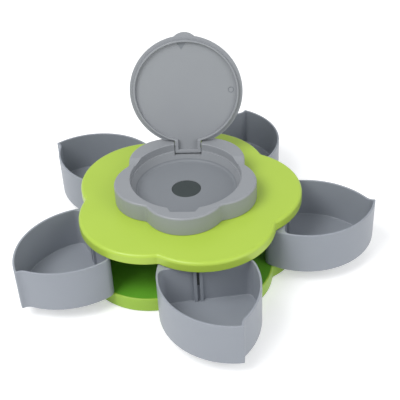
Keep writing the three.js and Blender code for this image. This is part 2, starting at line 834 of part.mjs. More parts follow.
pivots.forEach((point, i) => {
  assembly.add(place(piece(`pivot_post_${i + 1}`, pivotPost(), "dark"), point));
  assembly.add(place(piece(`post_screw_${i + 1}`, upwardScrew(postScrewLength), "steel"), point));
  const swing = new THREE.Group();
  swing.add(piece(`petal_box_${i + 1}`, petalBox(), "grey"));
  swing.add(piece(`toothed_quadrant_${i + 1}`, quadrantSolid(), "dark"));
  assembly.add(place(swing, point, lobeAngle(i) - swingOpen));
});

const knob = new THREE.Group();
knob.rotation.z = knobRest;
knob.add(piece("knob_dish", knobDish(), "grey"));
knob.add(piece("center_cap", centerCap(), "cap"));
const hinge = new THREE.Group();
hinge.position.set(0, hingeOffset, hingeHeight);
[-1, 1].forEach((side, i) => {
  const start = side * pinStart;
  const end = side * (pinStart + pinLength);
  const pin = rodAlongX(pinRadius, Math.min(start, end), Math.max(start, end), 0, 0);
  hinge.add(piece(`lid_hinge_pin_${i + 1}`, pin, "steel"));
});
const openLid = new THREE.Group();
openLid.rotation.x = -lidOpen;
openLid.add(piece("lid", lid(), "grey"));
hinge.add(openLid);
knob.add(hinge);
assembly.add(knob);

export default assembly;
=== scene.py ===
"""Flower-shaped rotating candy box: green base and cover, five grey petal boxes, grey knob with a lid."""
from math import acos, asin, atan2, cos, pi, radians, sin, sqrt

import bmesh
import bpy
from mathutils import Matrix, Vector


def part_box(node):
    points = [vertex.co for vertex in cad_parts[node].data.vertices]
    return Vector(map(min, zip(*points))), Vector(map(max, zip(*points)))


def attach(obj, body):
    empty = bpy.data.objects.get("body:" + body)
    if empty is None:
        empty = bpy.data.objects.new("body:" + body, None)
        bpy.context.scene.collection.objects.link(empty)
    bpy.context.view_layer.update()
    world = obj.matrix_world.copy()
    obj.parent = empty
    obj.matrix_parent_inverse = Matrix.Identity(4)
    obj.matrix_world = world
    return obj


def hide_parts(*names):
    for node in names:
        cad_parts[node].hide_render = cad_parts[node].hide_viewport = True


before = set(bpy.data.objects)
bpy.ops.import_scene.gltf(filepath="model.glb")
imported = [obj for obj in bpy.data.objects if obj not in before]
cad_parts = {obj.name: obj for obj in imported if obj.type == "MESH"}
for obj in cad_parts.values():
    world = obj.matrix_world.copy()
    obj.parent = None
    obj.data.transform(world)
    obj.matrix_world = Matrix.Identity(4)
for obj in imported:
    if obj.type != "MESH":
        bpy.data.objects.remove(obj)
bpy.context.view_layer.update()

# Sizes in millimetres, as in the construction; a finished piece is scaled to metres when it is placed.
TO_METRES = 0.001
PETALS = 5
PETAL_TURN = 2 * pi / PETALS
# Closer than TOUCH counts as one place. A cutter runs past a face by OVERRUN. SLACK is the play of a fit.
TOUCH = 0.01
MERGE = TOUCH / 10
OVERRUN = 2.0
SLACK = 0.3

# Steps of arcs and turned pieces, and segments of rounded edges, from wide to fine.
RING_STEPS, DISC_STEPS, STEM_STEPS, ROD_STEPS, SMALL_ROD_STEPS, HOLE_STEPS = 160, 120, 96, 48, 32, 24
LOBE_STEPS, NOTCH_STEPS = 40, 12
WALL_STEPS, BULGE_STEPS, KNUCKLE_STEPS, TIP_HOLLOW_STEPS = 80, 40, 30, 16
CORNER_STEPS, BLEND_STEPS, TIP_STEPS = 12, 10, 6
LID_STEPS, TAB_STEPS, TONGUE_STEPS = 80, 20, 5
LIP_STEPS = 4
BROAD_SEGMENTS, WIDE_SEGMENTS, EDGE_SEGMENTS, SKIRT_SEGMENTS, FINE_SEGMENTS = 8, 6, 4, 3, 2
SHARP_EDGE = radians(30)
SMOOTH_BELOW = radians(32)


def level(name, end):
    """Lowest (end 0) or highest (end 1) level of a CAD node."""
    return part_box(name)[end][2] / TO_METRES


# Cover and base
COVER_LOBE_RADIUS, COVER_LOBE_OFFSET = 71.65, 46.35
COVER_LOW, COVER_TOP = level("top_cover", 0), level("top_cover", 1)
COVER_PLATE, COVER_WALL, COVER_EDGE = 2.5, 2.5, 3.4
BASE_LOBE_RADIUS, BASE_LOBE_OFFSET = 67.8, 47.9
BASE_LOW, BASE_TOP = level("base_tray", 0), level("base_tray", 1)
BASE_PLATE, BASE_WALL, BASE_EDGE = 2.5, 2.5, 1.6
NOTCH_ROUND = 6.0
SKIRT_EDGE, INNER_EDGE = 0.5, 1.0

# Bosses, holes and feet
BORE_RADIUS, BOSS_RADIUS = 4.3, 6.6
SCREW_HOLE_RADIUS = 1.8
STEM_HOLE_RADIUS, STEM_HOLE_EDGE = 18.5, 0.4
FOOT_RADIUS, FOOT_OFFSET, FOOT_BOSS_WALL = 6.5, 85.0, 1.5
HUB_SCREW_OFFSET, HUB_SCREWS = 10.2, 3
GEAR_TOP = level("drive_gear", 1)

# Petal boxes
BOX_LOW, BOX_RIM = level("petal_box_1", 0), level("petal_box_1", 1)
BOX_WALL, BOX_FLOOR = 2.0, 2.2
SWING = radians(74.14)
PIVOT_RADIUS, PIVOT_LAG = 97.79, radians(31.33)
CORNER_REACH, CORNER_LAG = 78.99, radians(4.86)
BULGE_RADIUS, KNUCKLE_GAP, KNUCKLE_BLEND = 77.89, 0.85, 2.5
TIP_ROUND, CORNER_ROUND = 1.2, 9.0
RIM_EDGE, FLOOR_EDGE, HOLLOW_EDGE = 0.55, 0.9, 1.0
RIB_WIDTH, RIB_DEPTH, RIB_PITCH, RIB_REACH, RIB_DROP = 3.0, 2.5, 5.7, 25.91, 0.6

# Knob, its recess and its cap
KNOB_LOBE_RADIUS, KNOB_LOBE_OFFSET, KNOB_NOTCH_ROUND = 40.64, 32.44, 8.0
KNOB_LOW, KNOB_BACK_TOP = COVER_TOP + SLACK, level("knob_dish", 1)
KNOB_BACK_RISE, KNOB_BACK_START = 2.7, 29.5
RAMP_LENGTH, RAMP_STEPS = 11.0, 8
KNOB_TOP = KNOB_BACK_TOP - KNOB_BACK_RISE
KNOB_EDGE, LIP_EDGE, KNOB_FLOOR = 2.0, 0.8, 3.2
RECESS_FLOOR = KNOB_LOW + KNOB_FLOOR
FRONT_RIM_RADIUS, RECESS_ROUND = 56.2, 3.0
BACK_FLOOR_RADIUS, BACK_LEDGE_RADIUS, BACK_RIM_RADIUS = 51.5, 54.0, 55.5
BACK_LEDGE_DEPTH, BACK_LEDGE_FALL = 8.5, 0.3
FINGER_WIDE, FINGER_NARROW, FINGER_REACH, FINGER_DEPTH = 17.0, 12.0, 61.5, 6.0
# The knob is drawn with a notch at the back. With the boxes shut, its lobes stand over the cover's.
KNOB_TURN = pi / 2 - PETAL_TURN / 2
GEAR_TEETH, QUADRANT_TEETH = 55, 36
KNOB_REST = SWING * QUADRANT_TEETH / GEAR_TEETH - KNOB_TURN
STEM_RADIUS, STEM_LOW, STEM_FLOOR, WELL_RADIUS = 18.0, GEAR_TOP + SLACK, 3.5, 13.0
SPIGOT_BORE = 6.3
DOGS, DOG_OFFSET, DOG_WIDTH, DOG_THICKNESS, DOG_DEPTH = 3, 12.5, 8.0, 3.4, 3.0
CAP_RADIUS, CAP_EDGE = 14.7, 0.35
CAP_LOW, CAP_TOP = level("center_cap", 0), level("center_cap", 1)

# Lid and its hinge
LID_RADIUS, LID_PLATE, LID_OPEN = 58.69, 2.2, radians(102.8)
LID_EDGE, LID_UNDER_EDGE, BEAD_EDGE = 0.8, 0.35, 0.6
LID_LEAN = LID_OPEN - pi / 2
HINGE_OFFSET, HINGE_DROP = 57.0, 2.6
HINGE_HEIGHT = KNOB_BACK_TOP + SLACK - HINGE_DROP
BEAD_RADIUS, BEAD_WIDTH, BEAD_HEIGHT = 54.59, 1.8, 3.6
TONGUE_WIDTH, TONGUE_REACH, TONGUE_RIM, TONGUE_DEPTH, TONGUE_ROUND = 27.4, 9.0, 3.6, 2.1, 1.0
TAB_WIDTH, TAB_REACH = 21.0, 3.4
PIN_RADIUS, PIN_START = 1.0, 10.7
# Two shallow marks on the lid's inner face, placed from the hinge.
ARROW_MARK = ((-8.0, -108.5), (1.5, -108.5), (-3.3, -101.0))
RING_MARK_PLACE, RING_MARK_RADIUS, RING_MARK_WIDTH = (46.7, -58.3), 3.2, 0.8
MARK_DEPTH = 0.35
TONGUE_PLAY, SLOT_FLOOR, PIN_END = 0.6, 0.4, 18.5
SLOT_HALF = TONGUE_WIDTH / 2 + TONGUE_PLAY

# The photograph's camera, fitted to the flower's edges: where it stands and how it is turned.
VIEW_TARGET_HEIGHT, VIEW_DISTANCE = 60.0, 892.35
VIEW_TURN, VIEW_ELEVATION = radians(-0.94), radians(36.253)
VIEW_PITCH, VIEW_YAW, VIEW_ROLL = radians(-0.086), radians(0.857), radians(-3.441)
VIEW_LENS, VIEW_SENSOR = 77.84, 36.0

# Stage, in metres
CLIP_START, CLIP_END = 0.05, 20
FLOOR_SIZE, FLOOR_GLOW = 6, 0.4
LAMPS_AIM = Vector((0, 0, 0.06))


# Plane geometry

def polar(radius, angle, centre=Vector((0, 0))):
    return centre + radius * Vector((cos(angle), sin(angle)))


def angle_to(start, end):
    return atan2(end.y - start.y, end.x - start.x)


def turned(point, angle):
    return Matrix.Rotation(angle, 2) @ point


def circles_meet(a, radius_a, b, radius_b, side):
    """Where two circles meet, left (side 1) or right (side -1) of the way from a to b."""
    apart = (b - a).length
    along = (apart ** 2 + radius_a ** 2 - radius_b ** 2) / (2 * apart)
    return polar(radius_a, angle_to(a, b) + side * acos(along / radius_a), a)


def bow(centre, radius, first, last, turn, steps):
    """One arc of an outline: its sweep is positive anticlockwise (turn 1), negative for turn -1."""
    return centre, radius, first, turn * ((last - first) * turn % (2 * pi)), steps


def corner(x, y):
    """A sharp corner of an outline."""
    return Vector((x, y)), 0.0, 0.0, 0.0, 0


def flower(offset, radius, inset=0.0, spin=0.0, notch_round=NOTCH_ROUND):
    """Arcs of a five-lobed outline whose notches are rounded, drawn in by inset."""
    lobe, rounding, notch = radius - inset, notch_round + inset, PETAL_TURN / 2
    out = offset * cos(notch) + sqrt((lobe + rounding) ** 2 - (offset * sin(notch)) ** 2)
    arcs = []
    for i in range(PETALS):
        middle = spin + i * PETAL_TURN
        centre = polar(offset, middle)
        before, after = polar(out, middle - notch), polar(out, middle + notch)
        following = polar(offset, middle + PETAL_TURN)
        arcs.append(bow(centre, lobe, angle_to(centre, before), angle_to(centre, after), 1, LOBE_STEPS))
        arcs.append(bow(after, rounding, angle_to(after, centre), angle_to(after, following),
                        -1, NOTCH_STEPS))
    return arcs


ORIGIN = Vector((0, 0))
# A shut box round its own pivot, its lobe's middle along X. Its tip runs round the next box's knuckle.
PIVOT_IN_LOBE = polar(PIVOT_RADIUS, -PIVOT_LAG)
LOBE_CENTRE = polar(COVER_LOBE_OFFSET, 0) - PIVOT_IN_LOBE
NEXT_PIVOT = turned(PIVOT_IN_LOBE, PETAL_TURN) - PIVOT_IN_LOBE
KNUCKLE_RADIUS = COVER_LOBE_RADIUS - LOBE_CENTRE.length
TIP_HOLLOW = KNUCKLE_RADIUS + KNUCKLE_GAP
CORNER = polar(CORNER_REACH, angle_to(PIVOT_IN_LOBE, ORIGIN) - CORNER_LAG)
END_WALL = angle_to(ORIGIN, CORNER) + asin(KNUCKLE_RADIUS / CORNER_REACH)
BULGE_CENTRE = circles_meet(NEXT_PIVOT, TIP_HOLLOW + BULGE_RADIUS, CORNER, BULGE_RADIUS, 1)
SQUARE_ON = END_WALL + pi / 2


def from_end_wall(along, outward):
    """A point in a box's own frame, given along its end wall from the pivot, and out of the box."""
    return polar(outward, SQUARE_ON, polar(along, END_WALL))


def round_at_end_wall(centre, reach, outward, side):
    """Centre of a rounding between the end wall and a circle."""
    place = turned(centre, -END_WALL)
    return from_end_wall(place.x + side * sqrt(reach ** 2 - (outward - place.y) ** 2), outward)


def petal(inset, knuckle):
    """Arcs of a petal box's outside, with its knuckle, or of its hollow, without."""
    outer, hollow, bulge = COVER_LOBE_RADIUS - inset, TIP_HOLLOW + inset, BULGE_RADIUS - inset
    wall, rounding = -KNUCKLE_RADIUS - inset, CORNER_ROUND - inset
    tip = circles_meet(LOBE_CENTRE, outer - TIP_ROUND, NEXT_PIVOT, hollow + TIP_ROUND, -1)
    bend = round_at_end_wall(BULGE_CENTRE, bulge - rounding, wall - rounding, 1)
    arcs = [
        bow(tip, TIP_ROUND, angle_to(LOBE_CENTRE, tip), angle_to(tip, NEXT_PIVOT), 1, TIP_STEPS),
        bow(NEXT_PIVOT, hollow, angle_to(NEXT_PIVOT, tip), angle_to(NEXT_PIVOT, BULGE_CENTRE),
            -1, TIP_HOLLOW_STEPS),
        bow(BULGE_CENTRE, bulge, angle_to(BULGE_CENTRE, NEXT_PIVOT), angle_to(BULGE_CENTRE, bend),
            1, BULGE_STEPS),
        bow(bend, rounding, angle_to(BULGE_CENTRE, bend), SQUARE_ON, 1, CORNER_STEPS),
    ]
    if knuckle:
        reach = 2 * sqrt(KNUCKLE_RADIUS * KNUCKLE_BLEND)
        blend = from_end_wall(reach, KNUCKLE_BLEND - KNUCKLE_RADIUS)
        start = angle_to(LOBE_CENTRE, ORIGIN)
        arcs.append(bow(blend, KNUCKLE_BLEND + inset, SQUARE_ON - pi, angle_to(blend, ORIGIN),
                        -1, BLEND_STEPS))
        arcs.append(bow(ORIGIN, KNUCKLE_RADIUS - inset, angle_to(ORIGIN, blend), start, 1, KNUCKLE_STEPS))
    else:
        end = round_at_end_wall(LOBE_CENTRE, outer - rounding, wall - rounding, -1)
        start = angle_to(LOBE_CENTRE, end)
        arcs.append(bow(end, rounding, SQUARE_ON, start, 1, CORNER_STEPS))
    arcs.append(bow(LOBE_CENTRE, outer, start, angle_to(LOBE_CENTRE, tip), 1, WALL_STEPS))
    return arcs


# Modelling

def deselect():
    bpy.ops.object.select_all(action="DESELECT")


def only(piece):
    deselect()
    piece.select_set(True)
    bpy.context.view_layer.objects.active = piece


def edit(piece):
    only(piece)
    bpy.ops.object.mode_set(mode="EDIT")
    bpy.ops.mesh.select_all(action="DESELECT")


def done():
    bpy.ops.object.mode_set(mode="OBJECT")


def first_vertex(name, place):
    """A new mesh of one vertex, in edit mode, to draw from."""
    deselect()
    bpy.context.tool_settings.mesh_select_mode = (True, False, False)
    bpy.ops.mesh.primitive_plane_add(size=1, location=(0, 0, 0))
    piece = bpy.context.object
    piece.name = name
    bpy.ops.object.mode_set(mode="EDIT")
    bpy.ops.mesh.merge(type="CENTER")
    bpy.ops.transform.translate(value=place)
    return piece


def step(move):
    bpy.ops.mesh.extrude_region_move(TRANSFORM_OT_translate={"value": move})


def close_up(piece):
    bpy.ops.mesh.select_all(action="SELECT")
    bpy.ops.mesh.remove_doubles(threshold=MERGE)
    bpy.ops.mesh.normals_make_consistent(inside=False)
    done()
    return piece


def block_of(name, arcs, low, high):
    """Draws an outline by swinging a vertex round each arc, fills it and raises it to a block."""
    centre, radius, first, sweep, steps = arcs[0]
    point = polar(radius, first, centre)
    piece = first_vertex(name, (point.x, point.y, low))
    for centre, radius, first, sweep, steps in arcs:
        start = polar(radius, first, centre)
        if (start - point).length > TOUCH:
            step((start.x - point.x, start.y - point.y, 0))
        if steps:
            bpy.ops.mesh.spin(steps=steps, angle=-sweep, center=(centre.x, centre.y, low),
                              axis=(0, 0, 1))
        point = polar(radius, first + sweep, centre)
    bpy.ops.mesh.select_all(action="SELECT")
    bpy.ops.mesh.remove_doubles(threshold=TOUCH)
    bpy.ops.mesh.edge_face_add()
    step((0, 0, high - low))
    return close_up(piece)


def lathe(name, profile, centre=(0, 0), steps=DISC_STEPS):
    """Turns a profile of (radius, height) points, which starts and ends on the axis, into a solid."""
    piece = first_vertex(name, (centre[0] + profile[0][0], centre[1], profile[0][1]))
    for (r0, z0), (r1, z1) in zip(profile, profile[1:]):
        step((r1 - r0, 0, z1 - z0))
    bpy.ops.mesh.select_all(action="SELECT")
    bpy.ops.mesh.spin(steps=steps, angle=2 * pi, center=(*centre, 0), axis=(0, 0, 1))
    return close_up(piece)


def rod(name, radius, low, high, centre=(0, 0), sides=ROD_STEPS):
    return lathe(name, [(0, low), (radius, low), (radius, high), (0, high)], centre, sides)


def rod_along_x(name, radius, side, start, end, place):
    """A short rod along X, from start to end on one side of a place."""
    made = rod(name, radius, start, end, sides=SMALL_ROD_STEPS)
    only(made)
    made.matrix_world = Matrix.Translation(place) @ Matrix.Rotation(side * pi / 2, 4, "Y")
    bpy.ops.object.transform_apply(location=True, rotation=True, scale=True)
    return made


def quarter_angles():
    """The angles at which a small quarter round gets its points."""
    return [i * pi / 2 / LIP_STEPS for i in range(LIP_STEPS + 1)]


def quarter(radius, height, round_out, round_up):
    """Profile points of a quarter round that starts at (radius, height)."""
    return [(radius + round_out * (1 - cos(a)), height + round_up * sin(a)) for a in quarter_angles()]


def rounded_lip(radius, top, edge):
    """A hole's upper lip, rounded over outwards to the top."""
    return quarter(radius, top - edge, edge, edge)


def rounded_edge(radius, top, edge):
    """A disc's upper edge, rounded over inwards to the top."""
    return quarter(radius, top - edge, -edge, edge)


def hollow_corner(radius, floor, edge):
    """A hollow's floor corner, rounded up into the wall."""
    return [(radius - edge + edge * sin(a), floor + edge * (1 - cos(a))) for a in quarter_angles()]


def brick(name, low, high):
    """A box between two corners."""
    deselect()
    size = [b - a for a, b in zip(low, high)]
    middle = [(a + b) / 2 for a, b in zip(low, high)]
    bpy.ops.mesh.primitive_cube_add(size=1, location=(0, 0, 0))
    piece = bpy.context.object
    piece.name = name
    bpy.ops.object.mode_set(mode="EDIT")
    bpy.ops.transform.resize(value=size)
    bpy.ops.transform.translate(value=middle)
    done()
    return piece


def slab(name, corners, low, high):
    """A straight-sided block over corners."""
    return block_of(name, [corner(*c) for c in corners], low, high)


def apply(piece, kind, **settings):
    """Adds a modifier to the piece and applies it."""
    only(piece)
    modifier = piece.modifiers.new(kind.title(), kind)
    for key, value in settings.items():
        setattr(modifier, key, value)
    bpy.ops.object.modifier_apply(modifier=modifier.name)


def combine(piece, operation, *others):
    """Joins the others to the piece (UNION) or cuts them out of it (DIFFERENCE)."""
    for other in others:
        apply(piece, "BOOLEAN", operation=operation, object=other, solver="EXACT")
        bpy.data.objects.remove(other)
    return piece


def bevel(piece, test, width, segments):
    """Rounds the edges of the piece that pass a test of their two ends."""
    edit(piece)
    bpy.context.tool_settings.mesh_select_mode = (False, True, False)
    mesh = bmesh.from_edit_mesh(piece.data)
    for edge in mesh.edges:
        if len(edge.link_faces) == 2 and edge.calc_face_angle() > SHARP_EDGE and test(*edge.verts):
            edge.select_set(True)
    bmesh.update_edit_mesh(piece.data)
    bpy.ops.mesh.bevel(offset=width, segments=segments, affect="EDGES", profile=0.5)
    done()


def at_level(height):
    return lambda a, b: abs(a.co.z - height) < TOUCH and abs(b.co.z - height) < TOUCH


def keep_side(piece, start, sign):
    """Cuts the piece by an upright plane across Y and keeps the part beyond it (sign 1) or before it."""
    edit(piece)
    bpy.ops.mesh.select_all(action="SELECT")
    bpy.ops.mesh.bisect(plane_co=(0, start, 0), plane_no=(0, sign, 0), use_fill=True, clear_inner=True)
    done()
    return piece


def clean(piece, threshold=MERGE):
    """Merges what the cuts left closer together than the threshold."""
    edit(piece)
    bpy.ops.mesh.select_all(action="SELECT")
    bpy.ops.mesh.remove_doubles(threshold=threshold)
    bpy.ops.mesh.dissolve_degenerate(threshold=threshold)
    bpy.ops.mesh.normals_make_consistent(inside=False)
    done()


def finish_piece(piece, place, material, body, node_name):
    """Clears leftovers of the cuts, sets the piece in the frame and says what it stands for."""
    clean(piece)
    piece.matrix_world = Matrix.Scale(TO_METRES, 4) @ place
    only(piece)
    bpy.ops.object.transform_apply(location=True, rotation=True, scale=True)
    bpy.ops.object.shade_smooth_by_angle(angle=SMOOTH_BELOW)
    apply(piece, "WEIGHTED_NORMAL", keep_sharp=True)
    piece.data.materials.clear()
    piece.data.materials.append(material)
    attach(piece, body)
    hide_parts(node_name)
    return piece


def finish_part(piece, place, material, test):
    """Gives a second material, here painted shade or a mark's darker grey, to the faces of a finished piece
    whose middle, as drawn, passes a test.
    """
    piece.data.materials.append(material)
    as_drawn = place.inverted()
    for face in piece.data.polygons:
        if test(as_drawn @ (face.center / TO_METRES)):
            face.material_index = 1


# Materials

def linear(code):
    """An sRGB hex colour as linear red, green, blue and alpha."""
    parts = [int(code[i:i + 2], 16) / 255 for i in (1, 3, 5)]
    return (*[c / 12.92 if c <= 0.04045 else ((c + 0.055) / 1.055) ** 2.4 for c in parts], 1.0)


def node(owner, kind, links=(), **settings):
    """Adds a shader node to a material or the world, with (input, output socket) links and its values."""
    made = owner.node_tree.nodes.new(kind)
    for name, value in settings.items():
        if hasattr(made, name):
            setattr(made, name, value)
        else:
            made.inputs[name.replace("_", " ")].default_value = value
    for name, socket in links:
        owner.node_tree.links.new(socket, made.inputs[name])
    return made


# A real moulding's grain is about a tenth of a millimetre; each is drawn coarser, so that it shows.
FLOW_MM, GRAIN_DEPTH_MM, GLOSS_SPREAD = 45, 0.05, 0.05
PLASTIC_IOR, DEFAULT_IOR = 1.49, 1.5
# The colour sockets of a mix node.
MIX_A, MIX_B, MIX_RESULT = 6, 7, 2


def moulded(name, colour, deep, roughness, grain_mm, bump):
    """Injection-moulded plastic: a fine grain, faint flow mottling of two colours and uneven gloss."""
    material = bpy.data.materials.new(name)
    material.use_nodes = True
    shader = material.node_tree.nodes["Principled BSDF"]
    place = node(material, "ShaderNodeTexCoord").outputs["Object"]
    grain = node(material, "ShaderNodeTexNoise", [("Vector", place)], Scale=1 / (grain_mm * TO_METRES),
                 Detail=3.0, Roughness=0.6)
    flow = node(material, "ShaderNodeTexNoise", [("Vector", place)], Scale=1 / (FLOW_MM * TO_METRES),
                Detail=2.0)
    tint = node(material, "ShaderNodeMix", [("Factor", flow.outputs["Fac"])], data_type="RGBA")
    tint.inputs[MIX_A].default_value = linear(colour)
    tint.inputs[MIX_B].default_value = linear(deep)
    gloss = node(material, "ShaderNodeMapRange", [("Value", grain.outputs["Fac"])],
                 To_Min=roughness - GLOSS_SPREAD, To_Max=roughness + GLOSS_SPREAD)
    raised = node(material, "ShaderNodeBump", [("Height", grain.outputs["Fac"])], Strength=bump,
                  Distance=GRAIN_DEPTH_MM * TO_METRES)
    for socket, source in (("Base Color", tint.outputs[MIX_RESULT]), ("Roughness", gloss.outputs["Result"]),
                           ("Normal", raised.outputs["Normal"])):
        material.node_tree.links.new(source, shader.inputs[socket])
    shader.inputs["IOR"].default_value = PLASTIC_IOR
    return material


# Moulded polypropylene in apple green: an even, slightly waxy gloss with broad soft highlights.
GREEN = moulded("moulded_polypropylene_green", "#b5d14f", "#afcc48",
                roughness=0.36, grain_mm=1.4, bump=0.25)
# The base is the cover's green drawn slightly deeper, as painted shade, with the same gloss on its side.
SHADED_BASE_GREEN = moulded("moulded_polypropylene_green_shaded_side", "#a2c844", "#9cc23f",
                     roughness=0.4, grain_mm=1.4, bump=0.25)
# The base's top is matt and painted with shade: a dark leaf green for the shadow under the cover.
BASE_TOP_SHADE_GREEN = moulded("matt_polypropylene_green_painted_shade", "#6ab22b", "#62a928",
                       roughness=0.6, grain_mm=0.7, bump=0.6)
# Moulded polypropylene in light grey: satin walls whose gloss spreads into long soft gradients.
BOX_GREY = moulded("moulded_polypropylene_light_grey", "#9ba0a8", "#9499a1",
                   roughness=0.42, grain_mm=1.4, bump=0.3)
# The knob and lid are a slightly darker batch of the same grey, with the same satin face.
KNOB_GREY = moulded("moulded_polypropylene_grey", "#989b9f", "#929599",
                    roughness=0.4, grain_mm=1.4, bump=0.3)
# The floor of the knob's recess is duller than the walls and rims, and painted darker as shade in the
# recess. The lid's two marks get the same darker grey.
RECESS_SHADE_AND_MARK_GREY = moulded("polypropylene_grey_recess_shade_and_marks", "#868a8f", "#808489",
                      roughness=0.58, grain_mm=0.7, bump=0.6)
# The cap is moulded ABS: a darker grey with a duller, finely eroded face.
CAP_GREY = moulded("moulded_abs_dark_grey", "#3f4646", "#3a4141",
                   roughness=0.55, grain_mm=0.9, bump=0.4)
# The gears are moulded acetal: dark, dense and faintly oily.
ACETAL = moulded("moulded_acetal_dark_grey", "#333637", "#2d2f30",
                 roughness=0.38, grain_mm=1.2, bump=0.2)
# The posts and the hub column are moulded nylon: dark grey, tough and slightly dull.
INNER = moulded("moulded_nylon_dark_grey", "#3a3d3e", "#343637",
                roughness=0.5, grain_mm=1.0, bump=0.3)
# Soft rubber: black, matt and a little dusty.
RUBBER = moulded("moulded_rubber_black", "#2b2b2b", "#303030",
                 roughness=0.85, grain_mm=0.8, bump=0.6)


def zinc_steel():
    """Zinc-plated steel: bright metal whose crystals catch the light unevenly."""
    material = moulded("zinc_plated_steel", "#b9bcc0", "#aab0b8",
                       roughness=0.32, grain_mm=0.6, bump=0.15)
    shader = material.node_tree.nodes["Principled BSDF"]
    shader.inputs["Metallic"].default_value = 1.0
    shader.inputs["IOR"].default_value = DEFAULT_IOR
    return material


STEEL = zinc_steel()


# Pieces

def lobe_angle(i):
    return (i - 1) * PETAL_TURN


PIVOTS = [polar(PIVOT_RADIUS, lobe_angle(i) - PIVOT_LAG) for i in range(PETALS)]
FEET = [polar(FOOT_OFFSET, i * PETAL_TURN) for i in range(PETALS)] + [ORIGIN]
HUB_SCREW_PLACES = [polar(HUB_SCREW_OFFSET, i * 2 * pi / HUB_SCREWS) for i in range(HUB_SCREWS)]


def lobed_shell(name, offset, radius, low, top, plate, wall):
    """A block with the flower's outline, and the room to be cut out below its plate."""
    shell = block_of(name, flower(offset, radius), low, top)
    room = block_of("room", flower(offset, radius, wall), low - OVERRUN, top - plate)
    bevel(room, at_level(top - plate), INNER_EDGE, SKIRT_SEGMENTS)
    return shell, room


def make_cover():
    """The cover: a shell with a rounded edge, a socket for each post and a hole for the knob's stem."""
    under_plate, below, above = COVER_TOP - COVER_PLATE, COVER_LOW - OVERRUN, COVER_TOP + OVERRUN
    cover, room = lobed_shell("cover", COVER_LOBE_OFFSET, COVER_LOBE_RADIUS, COVER_LOW, COVER_TOP,
                              COVER_PLATE, COVER_WALL)
    bevel(cover, at_level(COVER_TOP), COVER_EDGE, BROAD_SEGMENTS)
    bevel(cover, at_level(COVER_LOW), SKIRT_EDGE, SKIRT_SEGMENTS)
    for place in PIVOTS:
        combine(room, "DIFFERENCE", rod("boss", BOSS_RADIUS, GEAR_TOP + SLACK, COVER_TOP, place))
    combine(cover, "DIFFERENCE", room)
    for place in PIVOTS:
        combine(cover, "DIFFERENCE", rod("socket", BORE_RADIUS, GEAR_TOP, under_plate, place))
    profile = [(0, below), (STEM_HOLE_RADIUS, below),
               *rounded_lip(STEM_HOLE_RADIUS, COVER_TOP, STEM_HOLE_EDGE),
               (STEM_HOLE_RADIUS + STEM_HOLE_EDGE, above), (0, above)]
    combine(cover, "DIFFERENCE", lathe("stem_hole", profile, ORIGIN, STEM_STEPS))
    finish_piece(cover, Matrix.Identity(4), GREEN, "base", "top_cover")


def make_base():
    """The base: a shell with a boss over each foot and a hole for each screw from below."""
    base, room = lobed_shell("base", BASE_LOBE_OFFSET, BASE_LOBE_RADIUS, BASE_LOW, BASE_TOP,
                             BASE_PLATE, BASE_WALL)
    bevel(base, at_level(BASE_TOP), BASE_EDGE, WIDE_SEGMENTS)
    bevel(base, at_level(BASE_LOW), SKIRT_EDGE, SKIRT_SEGMENTS)
    boss_low = level("rubber_foot_1", 1) + SLACK
    for place in FEET:
        wall = FOOT_BOSS_WALL if place.length else 0
        combine(room, "DIFFERENCE", rod("foot_boss", FOOT_RADIUS + wall, boss_low, BASE_TOP, place))
    combine(base, "DIFFERENCE", room)
    for place in PIVOTS + HUB_SCREW_PLACES:
        hole = rod("hole", SCREW_HOLE_RADIUS, BASE_LOW, BASE_TOP + OVERRUN, place, HOLE_STEPS)
        combine(base, "DIFFERENCE", hole)
    # All of the base but its top takes the deeper green: painted shade.
    finish_piece(base, Matrix.Identity(4), SHADED_BASE_GREEN, "base", "base_tray")
    # The base's top faces get the painted shade of the cover over them.
    finish_part(base, Matrix.Identity(4), BASE_TOP_SHADE_GREEN, lambda middle: middle.z > BASE_TOP - TOUCH)


def make_petal_boxes():
    """One box, modelled round its own pivot and closed, then copied to the five pivots and swung out."""
    shape = block_of("petal", petal(0, True), BOX_LOW, BOX_RIM)
    bevel(shape, at_level(BOX_LOW), FLOOR_EDGE, EDGE_SEGMENTS)
    hollow = block_of("hollow", petal(BOX_WALL, False), BOX_LOW + BOX_FLOOR, BOX_RIM + OVERRUN)
    bevel(hollow, at_level(BOX_LOW + BOX_FLOOR), HOLLOW_EDGE, EDGE_SEGMENTS)
    combine(shape, "DIFFERENCE", hollow)
    face = -KNUCKLE_RADIUS - BOX_WALL
    for side in (-1, 1):
        middle = RIB_REACH + side * RIB_PITCH / 2
        corners = [from_end_wall(middle + x * RIB_WIDTH / 2, face + y)
                   for x, y in ((-1, BOX_WALL / 2), (-1, -RIB_DEPTH), (1, -RIB_DEPTH), (1, BOX_WALL / 2))]
        combine(shape, "UNION", slab("rib", corners, BOX_LOW + BOX_FLOOR / 2, BOX_RIM - RIB_DROP))
    bevel(shape, at_level(BOX_RIM), RIM_EDGE, EDGE_SEGMENTS)
    combine(shape, "DIFFERENCE", rod("bore", BORE_RADIUS, BOX_LOW - OVERRUN, BOX_RIM + OVERRUN))
    for i, pivot in enumerate(PIVOTS):
        box = shape.copy()
        box.data = shape.data.copy()
        box.name = f"petal_shell_{i + 1}"
        bpy.context.collection.objects.link(box)
        place = Matrix.Translation((*pivot, 0)) @ Matrix.Rotation(lobe_angle(i) - SWING, 4, "Z")
        finish_piece(box, place, BOX_GREY, f"box_{i + 1}", f"petal_box_{i + 1}")
    bpy.data.objects.remove(shape)


